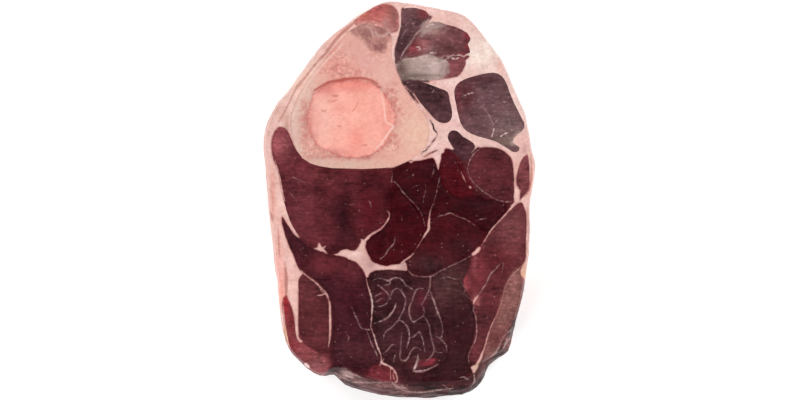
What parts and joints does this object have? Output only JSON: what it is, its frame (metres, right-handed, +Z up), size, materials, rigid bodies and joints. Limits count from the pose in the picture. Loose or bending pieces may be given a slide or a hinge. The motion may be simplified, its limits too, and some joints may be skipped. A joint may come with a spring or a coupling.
{
  "type": "raw beef shank slice",
  "caption": "Raw cross-cut slice of beef shin, lying flat: a ring of bone with marrow near one edge, muscles parted by seams of fat, and a rim of fat and silverskin.",
  "frame": {"origin": "middle of the slice's footprint, on the surface it lies on", "axes": "+X to the outer side of the leg, +Y along the slice to the crest of the shin bone, +Z up out of the shown cut face"},
  "size_m": [0.1136, 0.166, 0.038],
  "materials": {
    "fat": "moist fat and silverskin",
    "bone": "sawn bone",
    "marrow": "soft moist marrow",
    "crest_cap": "moist connective tissue",
    "tendon": "wet silvery sinew",
    "lean_maroon": "wet cut lean meat",
    "lean_dark": "wet cut lean meat",
    "lean_brown": "wet cut lean meat",
    "lean_bright": "wet cut lean meat"
  },
  "bodies": {
    "root": {"fat_web": "fat", "bone": "bone", "marrow": "marrow", "crest_cap": "crest_cap", "tendon": "tendon", "muscle_strip": "lean_dark", "muscle_extensor": "lean_brown", "muscle_extensor_low": "lean_bright", "muscle_wedge": "lean_dark", "muscle_upper_right": "lean_brown", "muscle_small_dark": "lean_dark", "muscle_round": "lean_maroon", "muscle_edge": "lean_maroon", "muscle_bright": "lean_bright", "muscle_left_large": "lean_maroon", "muscle_centre_left": "lean_maroon", "muscle_centre_top": "lean_maroon", "muscle_centre_low": "lean_maroon", "muscle_lower_left": "lean_maroon", "muscle_left_inner": "lean_maroon", "muscle_left_flap": "lean_bright", "muscle_marbled": "lean_dark", "muscle_right_inner": "lean_brown", "muscle_right_main": "lean_maroon", "muscle_right_outer": "lean_brown", "muscle_small_patch": "lean_maroon"}
  },
  "joints": []
}
